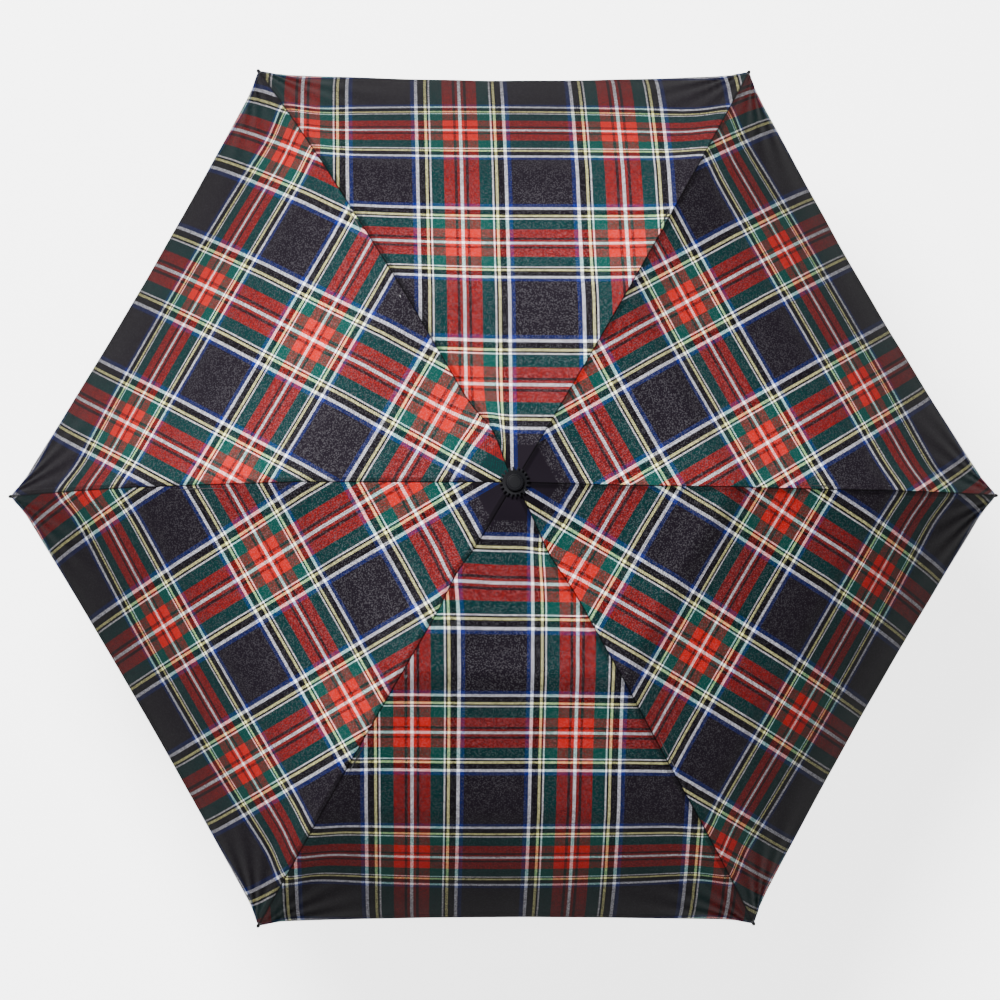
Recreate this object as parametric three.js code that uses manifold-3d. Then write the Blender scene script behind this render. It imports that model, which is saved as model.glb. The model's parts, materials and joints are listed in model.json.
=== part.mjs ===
// A compact folding umbrella, open: six three-section ribs, a three-section tube, a sliding runner
// and a six-gore canopy. Millimetres, +Z up, origin at the middle of the handle's flat end.
//
// Each rib is drawn in its own radial plane: x runs outwards, z up, y sideways.
// Every piece of a rib has its origin on the pivot that it turns about.

import * as THREE from 'three';
import { mergeVertices } from 'three/addons/utils/BufferGeometryUtils.js';
import Module from 'manifold-3d';

const wasm = await Module();
wasm.setup();

// ---------------------------------------------------------------- driving dimensions

const RIBS = 6;
const RIB_STEP = (2 * Math.PI) / RIBS;
const radians = THREE.MathUtils.degToRad;

// Handle and the three tubes of the shaft, as heights above the handle's flat end.
const END_CAP = { radius: 12.4, height: 3 };
const GRIP = { bottom: 3.4, top: 62, radius: 12.8, waist: 11.4, bore: 4.1, boreFloor: 19.5 };
const LOWER_TUBE = { inner: 3.0, outer: 3.8, bottom: 20, top: 257 };
const MID_TUBE = { inner: 4.2, outer: 4.8, bottom: 227, top: 408 };
const TOP_TUBE = { inner: 5.2, outer: 5.8, bottom: 378, top: 577 };

// Crown: the notched hub that the ribs are pinned in, with the washer and cap above the cloth.
const CROWN_Z = 575;
const CROWN = { radius: 13, below: 4, above: 4.5, bore: 6.2, boreTop: 2.4, bossRadius: 4, bossTop: 12.2 };
const CROWN_PIN_RADIUS = 11;
const CROWN_SLOT = { inner: 8.6, half: 1.6, top: 2.4 };
const ROSETTE = { radius: 14, root: 12.2, teeth: 20, bore: 4.4, bottom: 9.8, top: 11 };
const CAP = { radius: 8.35, bottom: 11.3, top: 14.8, chamfer: 1.1, bore: 4.4, boreTop: 12.6 };

// Runner, at the top of its travel.
const RUNNER_Z = 504.544;
const RUNNER = {
  bore: 6.2, sleeve: 8, sleeveTop: 6, sleeveBottom: 24,
  head: 12.8, headHalf: 3.5, flange: 10.2, flangeHeight: 3,
};
const RUNNER_PIN_RADIUS = 10.4;
const RUNNER_SLOT_INNER = 8.4;

// One rib. Angles are above the horizontal, with the umbrella open.
const TOP_RIB = { length: 192, angle: -9, width: 3.6, height: 3.0, wall: 0.6, lugWidth: 2.4 };
const MIDDLE_RIB = { length: 172, angle: -27.5, width: 3.0, height: 2.4, wall: 0.55 };
const OUTER_RIB = { length: 170, angle: -37, curl: 16, radius: 1.0 };
const TIP = { gap: 0.3, length: 10, radius: 1.8 };
const JOINT_1_RISE = 3.2;
const JOINT_2_DROP = 1.8;
const LUG_1_RADIUS = 1.9;
const LUG_2_RADIUS = 1.7;

// Links, in layers beside the rib so that they pass each other as it folds.
const STRETCHER = { length: 95, radius: 1.5, joinsRibAt: 75 };
const FOLD_LINK = { length: 114.86, radius: 1.3, pivotFromEnd: 12 };
const OUTER_LINK = { length: 171.35, radius: 1.1, pivotFromJoint: 10 };
const FOLD_LEVER = { length: 10.99, angle: -148 };
const OUTER_LEVER = { length: 9.27 };
const NEAR_LAYER = [2.2, 3.4];
const FAR_LAYER = [3.8, 4.8];
const OUTER_JOINT_LAYER = [1.9, 3.0];
const OUTER_LINK_LAYER = [3.8, 4.6];

const PIN_RADIUS = 0.6;
const PIN_HOLE = 0.95;

// Canopy: the cloth stands this far above the rib's centre line, more over the joints' lugs.
const CLOTH = { thickness: 1.1, innerRadius: 7, overCrown: 7.6, overJoint1: 9, overJoint2: 6, overTip: 3.6 };
const GORE = { rows: 14, columns: 4, bow: 18, bowPower: 1.8, hemDip: 9, sag: 18, seamGap: 0.45 };

// Spring catches: wedges that stand out of a tube just below the tube or sleeve that they hold up.
const CATCH = { half: 1, height: 8.2, gap: 0.5, leafLength: 18, leafThickness: 0.6, slotClearance: 0.4 };

// ---------------------------------------------------------------- materials

const standard = (color, roughness, metalness) =>
  new THREE.MeshStandardMaterial({ color, roughness, metalness });

const MATERIAL = {
  blackPlastic: standard(0x16161a, 0.45, 0),
  gripPlastic: standard(0x1b1b1f, 0.6, 0),
  steel: standard(0xb8bcc2, 0.3, 1),
  blackSteel: standard(0x1c1d20, 0.4, 0.8),
  cloth: standard(0x3a4a5c, 0.85, 0),
};

// ---------------------------------------------------------------- solids

function solidOf(geometry) {
  const bare = geometry.clone();
  bare.deleteAttribute('normal');
  bare.deleteAttribute('uv');
  const merged = mergeVertices(bare, 1e-4);
  return new wasm.Manifold(new wasm.Mesh({
    numProp: 3,
    vertProperties: new Float32Array(merged.attributes.position.array),
    triVerts: new Uint32Array(merged.index.array),
  }));
}

function geometryOf(solid) {
  const mesh = solid.getMesh();
  const geometry = new THREE.BufferGeometry();
  geometry.setAttribute('position', new THREE.Float32BufferAttribute(mesh.vertProperties, mesh.numProp));
  geometry.setIndex(new THREE.Uint32BufferAttribute(mesh.triVerts, 1));
  geometry.computeVertexNormals();
  return geometry;
}

const join = (first, ...others) => others.reduce((sum, other) => sum.add(other), first);
const cut = (first, ...others) => others.reduce((rest, other) => rest.subtract(other), first);

function box([x0, x1], [y0, y1], [z0, z1]) {
  const geometry = new THREE.BoxGeometry(x1 - x0, y1 - y0, z1 - z0);
  return solidOf(geometry.translate((x0 + x1) / 2, (y0 + y1) / 2, (z0 + z1) / 2));
}

// A round bar along y, for pins and holes.
function crossBar(x, z, radius, [y0, y1], sides = 6) {
  const geometry = new THREE.CylinderGeometry(radius, radius, y1 - y0, sides);
  return solidOf(geometry.translate(x, (y0 + y1) / 2, z));
}

// A solid of revolution about z, from [radius, height] pairs that close on themselves or on the axis.
function turned(profile, sides = 24) {
  const points = profile.map(([radius, height]) => new THREE.Vector2(radius, height));
  const geometry = new THREE.LatheGeometry(points, sides);
  return solidOf(geometry.rotateX(Math.PI / 2));
}

function tube({ inner, outer, bottom, top }, sides = 18) {
  return turned([[inner, bottom], [outer, bottom], [outer, top], [inner, top], [inner, bottom]], sides);
}

// A flat plate in the rib's plane, from its outline of [x, z] pairs, between two values of y.
function plate(outline, [y0, y1]) {
  const shape = new THREE.Shape(outline.map(([x, z]) => new THREE.Vector2(x, z)));
  const geometry = new THREE.ExtrudeGeometry(shape, { depth: y1 - y0, bevelEnabled: false });
  return solidOf(geometry.rotateX(Math.PI / 2).translate(0, y1, 0));
}

// A flat bar with round ends, from one point of the rib's plane to another.
function link([x0, z0], [x1, z1], radius, layer, arcSides = 3) {
  const along = Math.atan2(z1 - z0, x1 - x0);
  const outline = [];
  for (const [x, z, start] of [[x1, z1, along - Math.PI / 2], [x0, z0, along + Math.PI / 2]]) {
    for (let i = 0; i <= arcSides; i += 1) {
      const angle = start + (Math.PI * i) / arcSides;
      outline.push([x + radius * Math.cos(angle), z + radius * Math.sin(angle)]);
    }
  }
  return plate(outline, layer);
}

// A flat bar with square ends.
function strap([x0, z0], [x1, z1], half, layer) {
  const angle = Math.atan2(z1 - z0, x1 - x0);
  const [sideX, sideZ] = [-half * Math.sin(angle), half * Math.cos(angle)];
  const outline = [
    [x0 + sideX, z0 + sideZ], [x0 - sideX, z0 - sideZ], [x1 - sideX, z1 - sideZ], [x1 + sideX, z1 + sideZ],
  ];
  return plate(outline, layer);
}

const mirrored = ([near, far]) => [-far, -near];
const bothSides = (half) => [-half, half];

// ---------------------------------------------------------------- the rib's plane

const direction = (degrees) =>
  new THREE.Vector2(Math.cos(radians(degrees)), Math.sin(radians(degrees)));
const along = (start, degrees, distance) => start.clone().addScaledVector(direction(degrees), distance);

const CROWN_PIVOT = new THREE.Vector2(CROWN_PIN_RADIUS, 0);
const TOP_RIB_END = along(CROWN_PIVOT, TOP_RIB.angle, TOP_RIB.length);
const JOINT_1 = along(TOP_RIB_END, TOP_RIB.angle + 90, JOINT_1_RISE);
const MIDDLE_RIB_START = along(JOINT_1, MIDDLE_RIB.angle + 90, -JOINT_1_RISE);
const MIDDLE_RIB_END = along(MIDDLE_RIB_START, MIDDLE_RIB.angle, MIDDLE_RIB.length);
const JOINT_2 = along(MIDDLE_RIB_END, MIDDLE_RIB.angle + 90, -JOINT_2_DROP);
const RUNNER_PIVOT = new THREE.Vector2(RUNNER_PIN_RADIUS, RUNNER_Z - CROWN_Z);
const STRETCHER_END = along(CROWN_PIVOT, TOP_RIB.angle, STRETCHER.joinsRibAt);
const OUTER_LINK_PIVOT = along(CROWN_PIVOT, TOP_RIB.angle, TOP_RIB.length - OUTER_LINK.pivotFromJoint);

const angleTo = (from, to) => THREE.MathUtils.radToDeg(Math.atan2(to.y - from.y, to.x - from.x));

const STRETCHER_ANGLE = angleTo(RUNNER_PIVOT, STRETCHER_END);
const FOLD_LINK_PIVOT = along(STRETCHER_END, STRETCHER_ANGLE, -FOLD_LINK.pivotFromEnd);
const FOLD_LEVER_END = along(JOINT_1, MIDDLE_RIB.angle + FOLD_LEVER.angle, FOLD_LEVER.length);
const OUTER_LEVER_END = along(JOINT_2, OUTER_RIB.angle, -OUTER_LEVER.length);
const FOLD_LINK_ANGLE = angleTo(FOLD_LINK_PIVOT, FOLD_LEVER_END);
const OUTER_LINK_ANGLE = angleTo(OUTER_LINK_PIVOT, OUTER_LEVER_END);

// A point of the outer rib's curved wire, in that rib's own frame.
function outerRibPoint(distance) {
  const curl = radians(OUTER_RIB.curl);
  const bend = OUTER_RIB.length / curl;
  const turn = distance / bend;
  return new THREE.Vector2(bend * Math.sin(turn), JOINT_2_DROP - bend * (1 - Math.cos(turn)));
}

const RIB_LENGTH = TOP_RIB.length + MIDDLE_RIB.length + OUTER_RIB.length;

// The centre line of the whole open rib, at a distance from the crown pivot.
function ribPoint(distance) {
  if (distance <= TOP_RIB.length) return along(CROWN_PIVOT, TOP_RIB.angle, distance);
  const pastJoint1 = distance - TOP_RIB.length;
  if (pastJoint1 <= MIDDLE_RIB.length) return along(MIDDLE_RIB_START, MIDDLE_RIB.angle, pastJoint1);
  const local = outerRibPoint(pastJoint1 - MIDDLE_RIB.length);
  return local.rotateAround(new THREE.Vector2(), radians(OUTER_RIB.angle)).add(JOINT_2);
}

// ---------------------------------------------------------------- rib pieces

// An upside-down U channel along x, centred on the line z = level, open on its lower side.
function channel([x0, x1], level, { width, height, wall }) {
  const bar = box([x0, x1], [-width / 2, width / 2], [level - height / 2, level + height / 2]);
  const groove = box(
    [x0 + 2, x1 - 3],
    [wall - width / 2, width / 2 - wall],
    [level - height, level + height / 2 - wall],
  );
  return cut(bar, groove);
}

function topRib() {
  const { length, height, width, lugWidth } = TOP_RIB;
  const eye = link([0, 0], [8, 0], height / 2, [-lugWidth / 2, lugWidth / 2]);
  const rising = plate(
    [
      [length - 10, -height / 2],
      [length - 3, -height / 2],
      [length + LUG_1_RADIUS, JOINT_1_RISE],
      [length - 1, JOINT_1_RISE + LUG_1_RADIUS - 0.3],
      [length - 8, height / 2],
    ],
    [-width / 2, width / 2],
  );
  const knuckle = crossBar(length, JOINT_1_RISE, LUG_1_RADIUS, bothSides(width / 2), 8);
  const rivet = crossBar(length, JOINT_1_RISE, PIN_RADIUS, bothSides(NEAR_LAYER[1] + 0.2));
  const linkPin = crossBar(
    length - OUTER_LINK.pivotFromJoint, 0, PIN_RADIUS, [-OUTER_LINK_LAYER[1] - 0.2, -width / 2 + 0.8],
  );
  const body = join(channel([6, length - 3], 0, TOP_RIB), eye, rising, knuckle, rivet, linkPin);
  return cut(body, crossBar(0, 0, PIN_HOLE, bothSides(width)));
}

function middleRib() {
  const { length, width, height } = MIDDLE_RIB;
  const level = -JOINT_1_RISE;
  const blockZ = [level - height / 2, level + height / 2];
  const parts = [
    channel([7, length - 5], level, MIDDLE_RIB),
    box([4, 8], [-NEAR_LAYER[1], NEAR_LAYER[1]], blockZ),
    link([0, 0], [FOLD_LEVER.length * Math.cos(radians(FOLD_LEVER.angle)),
      FOLD_LEVER.length * Math.sin(radians(FOLD_LEVER.angle))], 1.5, NEAR_LAYER),
    strap([length - 6, level], [length, level - JOINT_2_DROP], LUG_2_RADIUS * 0.8, [-width / 2, width / 2]),
    crossBar(length, level - JOINT_2_DROP, LUG_2_RADIUS, bothSides(width / 2), 8),
    crossBar(length, level - JOINT_2_DROP, PIN_RADIUS, bothSides(OUTER_JOINT_LAYER[1] + 0.2)),
  ];
  for (const layer of [NEAR_LAYER, mirrored(NEAR_LAYER)]) {
    parts.push(strap([0, 0], [6, level], 1.2, layer));
    parts.push(crossBar(0, 0, LUG_1_RADIUS, layer, 8));
  }
  const eye = crossBar(0, 0, PIN_RADIUS + 0.4, bothSides(NEAR_LAYER[1] + 1));
  const leverEye = crossBar(
    FOLD_LEVER.length * Math.cos(radians(FOLD_LEVER.angle)),
    FOLD_LEVER.length * Math.sin(radians(FOLD_LEVER.angle)),
    0.7,
    [0, NEAR_LAYER[1] + 1],
  );
  return cut(join(...parts), eye, leverEye);
}

// The bent wire of the outer rib, as a round section swept along its arc.
function bentWire(start, end, radius, sides = 6, steps = 8) {
  class Arc extends THREE.Curve {
    getPoint(t, target = new THREE.Vector3()) {
      const point = outerRibPoint(start + (end - start) * t);
      return target.set(point.x, 0, point.y);
    }
  }
  const section = new THREE.Shape();
  for (let i = 0; i < sides; i += 1) {
    const angle = (2 * Math.PI * i) / sides;
    const [x, y] = [radius * Math.cos(angle), radius * Math.sin(angle)];
    if (i === 0) section.moveTo(x, y);
    else section.lineTo(x, y);
  }
  section.closePath();
  return solidOf(new THREE.ExtrudeGeometry(section, { extrudePath: new Arc(), steps, bevelEnabled: false }));
}

function outerRib() {
  const level = JOINT_2_DROP;
  const parts = [
    bentWire(4.5, OUTER_RIB.length, OUTER_RIB.radius),
    box([3.4, 7], [-OUTER_JOINT_LAYER[1], OUTER_JOINT_LAYER[1]], [level - 1.1, level + 1]),
    link([0, 0], [-OUTER_LEVER.length, 0], 1.2, mirrored(OUTER_JOINT_LAYER)),
  ];
  for (const layer of [OUTER_JOINT_LAYER, mirrored(OUTER_JOINT_LAYER)]) {
    parts.push(strap([0, 0], [5, level], 1.0, layer));
    parts.push(crossBar(0, 0, LUG_2_RADIUS, layer, 8));
  }
  const eye = crossBar(0, 0, PIN_RADIUS + 0.4, bothSides(OUTER_JOINT_LAYER[1] + 1));
  return cut(join(...parts), eye);
}

// The pointed end piece, turned about the wire's own end direction.
function ribTip() {
  const { gap, length, radius } = TIP;
  return turned([
    [0, gap], [radius * 0.9, gap], [radius, gap + 1.2], [radius, length * 0.45],
    [radius * 0.62, length * 0.8], [radius * 0.5, length], [radius * 0.25, length + 0.6], [0, length + 0.75],
  ], 8);
}

function stretcher() {
  const { length, radius } = STRETCHER;
  const pinX = length - FOLD_LINK.pivotFromEnd;
  const bar = link([0, 0], [length, 0], radius, NEAR_LAYER);
  const pin = crossBar(pinX, 0, 0.5, [NEAR_LAYER[1] - 0.6, FAR_LAYER[1] + 0.2]);
  return cut(
    join(bar, pin),
    crossBar(0, 0, PIN_HOLE, [0, NEAR_LAYER[1] + 1]),
    crossBar(length, 0, 0.8, [0, NEAR_LAYER[1] + 1]),
  );
}

function endHoledLink(length, radius, layer, firstHole) {
  const wide = [layer[0] - 1, layer[1] + 1];
  return cut(
    link([0, 0], [length, 0], radius, layer),
    crossBar(0, 0, firstHole, wide, 8),
    crossBar(length, 0, 0.6, wide, 8),
  );
}

// ---------------------------------------------------------------- shaft, crown, runner and handle

function catchWedge(wallInner, reach, top) {
  const bottom = top - CATCH.height;
  const leaf = [wallInner - 1.6, wallInner - 1.6 + CATCH.leafThickness];
  const wedge = plate(
    [[leaf[0], bottom], [wallInner + 0.4, bottom], [reach, top - 2], [reach, top], [leaf[0], top]],
    [-CATCH.half, CATCH.half],
  );
  const spring = box(leaf, [-CATCH.half, CATCH.half], [top - CATCH.leafLength - CATCH.height, top]);
  return join(wedge, spring);
}

// The height of a catch's upper face, just below what it holds up.
const catchTop = (heldBottom) => heldBottom - CATCH.gap;

function slottedTube(dimensions, heldBottom) {
  const top = catchTop(heldBottom) + CATCH.slotClearance;
  const slot = box(
    [dimensions.inner - 1.5, dimensions.outer + 2],
    [-CATCH.half - CATCH.slotClearance, CATCH.half + CATCH.slotClearance],
    [top - CATCH.height - 2 * CATCH.slotClearance, top],
  );
  return cut(tube(dimensions), slot);
}

const RUNNER_BOTTOM = RUNNER_Z - RUNNER.sleeveBottom;

// Repeats a cutter or pin, drawn in the first rib's plane, round the axis.
function roundTheAxis(makeSolid) {
  const solids = [];
  for (let i = 0; i < RIBS; i += 1) solids.push(makeSolid().rotate([0, 0, (360 * i) / RIBS]));
  return solids;
}

function crownNotch() {
  const { radius, below, above, bore, boreTop, bossRadius, bossTop } = CROWN;
  const hub = turned([
    [bore, -below], [radius - 1, -below], [radius, 1 - below], [radius, above - 1], [radius - 1, above],
    [bossRadius, above], [bossRadius, bossTop], [0, bossTop], [0, boreTop], [bore, boreTop], [bore, -below],
  ]);
  const slots = roundTheAxis(() =>
    box([CROWN_SLOT.inner, radius + 2], [-CROWN_SLOT.half, CROWN_SLOT.half], [-below - 1, CROWN_SLOT.top]));
  const pins = roundTheAxis(() =>
    crossBar(CROWN_PIN_RADIUS, 0, PIN_RADIUS, bothSides(CROWN_SLOT.half + 0.6)));
  return join(cut(hub, ...slots), ...pins);
}

function rosette() {
  const { radius, root, teeth, bore, bottom, top } = ROSETTE;
  const disc = turned([
    [bore, bottom], [radius, bottom], [radius, top], [bore, top], [bore, bottom],
  ], teeth * 2);
  const gaps = [];
  for (let i = 0; i < teeth; i += 1) {
    const gap = box([root, radius + 1], [-0.85, 0.85], [bottom - 1, top + 1]);
    gaps.push(gap.rotate([0, 0, (360 * (i + 0.5)) / teeth]));
  }
  return cut(disc, ...gaps);
}

function crownCap() {
  const { radius, bottom, top, chamfer, bore, boreTop } = CAP;
  return turned([
    [bore, bottom], [radius, bottom], [radius, top - chamfer], [radius - chamfer, top],
    [0, top], [0, boreTop], [bore, boreTop], [bore, bottom],
  ]);
}

function runner() {
  const { bore, sleeve, head, headHalf, sleeveTop, sleeveBottom, flange, flangeHeight } = RUNNER;
  const body = turned([
    [bore, -sleeveBottom], [flange - 0.8, -sleeveBottom], [flange, 0.8 - sleeveBottom],
    [flange, flangeHeight - sleeveBottom], [sleeve, flangeHeight + 2 - sleeveBottom], [sleeve, -headHalf],
    [head, -headHalf], [head, headHalf], [sleeve, headHalf], [sleeve, sleeveTop], [bore, sleeveTop],
    [bore, -sleeveBottom],
  ]);
  const slotY = [NEAR_LAYER[0] - 0.4, NEAR_LAYER[1] + 0.4];
  const slots = roundTheAxis(() =>
    box([RUNNER_SLOT_INNER, head + 2], slotY, [-headHalf - 1, headHalf + 1]));
  const pins = roundTheAxis(() =>
    crossBar(RUNNER_PIN_RADIUS, 0, PIN_RADIUS, [slotY[0] - 0.5, slotY[1] + 0.5]));
  return join(cut(body, ...slots), ...pins);
}

function handleGrip() {
  const { bottom, top, radius, waist, bore, boreFloor } = GRIP;
  return turned([
    [0, bottom], [radius - 0.8, bottom], [radius, bottom + 1], [radius, bottom + 8], [waist, bottom + 24],
    [waist, top - 14], [waist + 0.6, top - 6], [waist - 1.2, top - 1.2], [waist - 3, top], [bore, top],
    [bore, boreFloor], [0, boreFloor],
  ]);
}

function handleEndCap() {
  const { radius, height } = END_CAP;
  return turned([[0, 0], [radius - 1, 0], [radius, 1], [radius, height], [0, height]]);
}

// ---------------------------------------------------------------- canopy

const lerp = THREE.MathUtils.lerp;

// How far the cloth stands above the rib's centre line, at a distance from the crown pivot.
function clothRise(distance) {
  const joint1 = TOP_RIB.length + 12;
  const joint2 = TOP_RIB.length + MIDDLE_RIB.length;
  if (distance < joint1) return lerp(CLOTH.overCrown, CLOTH.overJoint1, distance / joint1);
  if (distance < joint2) {
    return lerp(CLOTH.overJoint1, CLOTH.overJoint2, (distance - joint1) / (joint2 - joint1));
  }
  return lerp(CLOTH.overJoint2, CLOTH.overTip, (distance - joint2) / (RIB_LENGTH - joint2));
}

// A point of the canopy's inner face. share runs from 0 at the crown to 1 at the hem,
// across from 0 on one rib to 1 on the next.
function clothPoint(share, across) {
  const start = CLOTH.innerRadius - CROWN_PIN_RADIUS;
  const middle = 4 * across * (1 - across);
  const dipped = share * (1 + (GORE.hemDip / RIB_LENGTH) * middle * share);
  const distance = lerp(start, RIB_LENGTH, Math.min(dipped, 1));
  const rib = ribPoint(distance);
  const past = Math.max(dipped - 1, 0) * RIB_LENGTH;
  const slope = radians(OUTER_RIB.angle - OUTER_RIB.curl);
  rib.x += past * Math.cos(slope);
  rib.y += past * Math.sin(slope);
  const left = new THREE.Vector2(rib.x, 0);
  const right = new THREE.Vector2(rib.x * Math.cos(RIB_STEP), rib.x * Math.sin(RIB_STEP));
  const flat = left.lerp(right, across);
  const inwards = (GORE.bow * share ** GORE.bowPower * middle) / Math.max(flat.length(), 1);
  flat.multiplyScalar(1 - inwards);
  const height = rib.y + clothRise(distance) - GORE.sag * Math.min(1, 1.6 * share) * middle;
  return new THREE.Vector3(flat.x, flat.y, height);
}

function gore() {
  const { rows, columns, seamGap } = GORE;
  const positions = [];
  const index = [];
  for (let layer = 0; layer < 2; layer += 1) {
    for (let row = 0; row <= rows; row += 1) {
      const share = row / rows;
      const width = clothPoint(share, 0).distanceTo(clothPoint(share, 1));
      const edge = seamGap / 2 / width;
      for (let column = 0; column <= columns; column += 1) {
        const point = clothPoint(share, lerp(edge, 1 - edge, column / columns));
        positions.push(point.x, point.y, point.z + layer * CLOTH.thickness);
      }
    }
  }
  const at = (layer, row, column) => (layer * (rows + 1) + row) * (columns + 1) + column;
  const quad = (a, b, c, d) => index.push(a, b, c, a, c, d);
  for (let row = 0; row < rows; row += 1) {
    for (let column = 0; column < columns; column += 1) {
      const corners = [[row, column], [row + 1, column], [row + 1, column + 1], [row, column + 1]];
      quad(...corners.map(([r, c]) => at(1, r, c)));
      quad(...corners.reverse().map(([r, c]) => at(0, r, c)));
    }
    quad(at(0, row, 0), at(0, row + 1, 0), at(1, row + 1, 0), at(1, row, 0));
    quad(at(0, row + 1, columns), at(0, row, columns), at(1, row, columns), at(1, row + 1, columns));
  }
  for (let column = 0; column < columns; column += 1) {
    quad(at(0, 0, column + 1), at(0, 0, column), at(1, 0, column), at(1, 0, column + 1));
    quad(at(0, rows, column), at(0, rows, column + 1), at(1, rows, column + 1), at(1, rows, column));
  }
  const geometry = new THREE.BufferGeometry();
  geometry.setAttribute('position', new THREE.Float32BufferAttribute(positions, 3));
  geometry.setIndex(index);
  geometry.computeVertexNormals();
  return geometry;
}

// ---------------------------------------------------------------- assembly

const umbrella = new THREE.Group();

function addTo(parent, name, geometry, material) {
  const mesh = new THREE.Mesh(geometry, material);
  mesh.name = name;
  parent.add(mesh);
  return mesh;
}

// A rib piece, put on its pivot and turned to its angle above the horizontal.
function addRibPiece(parent, name, solid, material, pivot, degrees) {
  const mesh = addTo(parent, name, geometryOf(solid), material);
  mesh.position.set(pivot.x, 0, pivot.y);
  mesh.rotation.y = -radians(degrees);
  return mesh;
}

addTo(umbrella, 'handle_end_cap', geometryOf(handleEndCap()), MATERIAL.blackPlastic);
addTo(umbrella, 'handle_grip', geometryOf(handleGrip()), MATERIAL.gripPlastic);
addTo(umbrella, 'lower_tube', geometryOf(slottedTube(LOWER_TUBE, MID_TUBE.bottom)), MATERIAL.steel);
addTo(umbrella, 'mid_tube', geometryOf(slottedTube(MID_TUBE, TOP_TUBE.bottom)), MATERIAL.steel);
addTo(umbrella, 'top_tube', geometryOf(slottedTube(TOP_TUBE, RUNNER_BOTTOM)), MATERIAL.steel);
const catches = [
  ['tube_catch_lower', LOWER_TUBE, MID_TUBE.outer + 0.5, MID_TUBE.bottom],
  ['tube_catch_upper', MID_TUBE, TOP_TUBE.outer + 0.5, TOP_TUBE.bottom],
  ['runner_catch', TOP_TUBE, RUNNER.sleeve - 0.4, RUNNER_BOTTOM],
];
for (const [name, tubeSize, reach, held] of catches) {
  addTo(umbrella, name, geometryOf(catchWedge(tubeSize.inner, reach, catchTop(held))), MATERIAL.steel);
}

const head = new THREE.Group();
head.position.z = CROWN_Z;
umbrella.add(head);
addTo(head, 'crown_notch', geometryOf(crownNotch()), MATERIAL.blackPlastic);
addTo(head, 'canopy_rosette', geometryOf(rosette()), MATERIAL.blackPlastic);
addTo(head, 'crown_cap', geometryOf(crownCap()), MATERIAL.blackPlastic);
addTo(umbrella, 'runner', geometryOf(runner()), MATERIAL.blackPlastic).position.z = RUNNER_Z;

for (let i = 0; i < RIBS; i += 1) {
  const number = i + 1;
  const plane = new THREE.Group();
  plane.rotation.z = i * RIB_STEP;
  head.add(plane);
  addRibPiece(plane, `rib_${number}_top`, topRib(), MATERIAL.blackSteel, CROWN_PIVOT, TOP_RIB.angle);
  addRibPiece(plane, `rib_${number}_middle`, middleRib(), MATERIAL.blackSteel, JOINT_1, MIDDLE_RIB.angle);
  addRibPiece(plane, `rib_${number}_outer`, outerRib(), MATERIAL.steel, JOINT_2, OUTER_RIB.angle);

  const wireEnd = ribPoint(RIB_LENGTH);
  const endAngle = OUTER_RIB.angle - OUTER_RIB.curl;
  const tip = ribTip().rotate([0, 90, 0]);
  addRibPiece(plane, `rib_${number}_tip`, tip, MATERIAL.blackPlastic, wireEnd, endAngle);

  addRibPiece(plane, `stretcher_${number}`, stretcher(), MATERIAL.blackSteel, RUNNER_PIVOT, STRETCHER_ANGLE);
  const foldLink = endHoledLink(FOLD_LINK.length, FOLD_LINK.radius, FAR_LAYER, 0.85);
  addRibPiece(plane, `fold_link_${number}`, foldLink, MATERIAL.blackSteel, FOLD_LINK_PIVOT, FOLD_LINK_ANGLE);
  const outerLink = endHoledLink(OUTER_LINK.length, OUTER_LINK.radius, mirrored(OUTER_LINK_LAYER), 0.92);
  addRibPiece(plane, `outer_link_${number}`, outerLink, MATERIAL.steel, OUTER_LINK_PIVOT, OUTER_LINK_ANGLE);

  addTo(plane, `canopy_gore_${number}`, gore(), MATERIAL.cloth);
}

export default umbrella;
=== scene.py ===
# %% [markdown]
# # A compact folding umbrella, open
# We dress a fixed frame of ribs, tubes and joints. The frame comes from a CAD model and is never moved.
# Everything soft or finely shaped is made here: the cloth, the crown, the rib tips, the shaft and the handle.
# All lengths are in metres, and every place is read from the frame's own joints and boxes.

# %% Load the frame
import json
import math

import bmesh
import bpy
import numpy as np
from mathutils import Matrix, Vector


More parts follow.
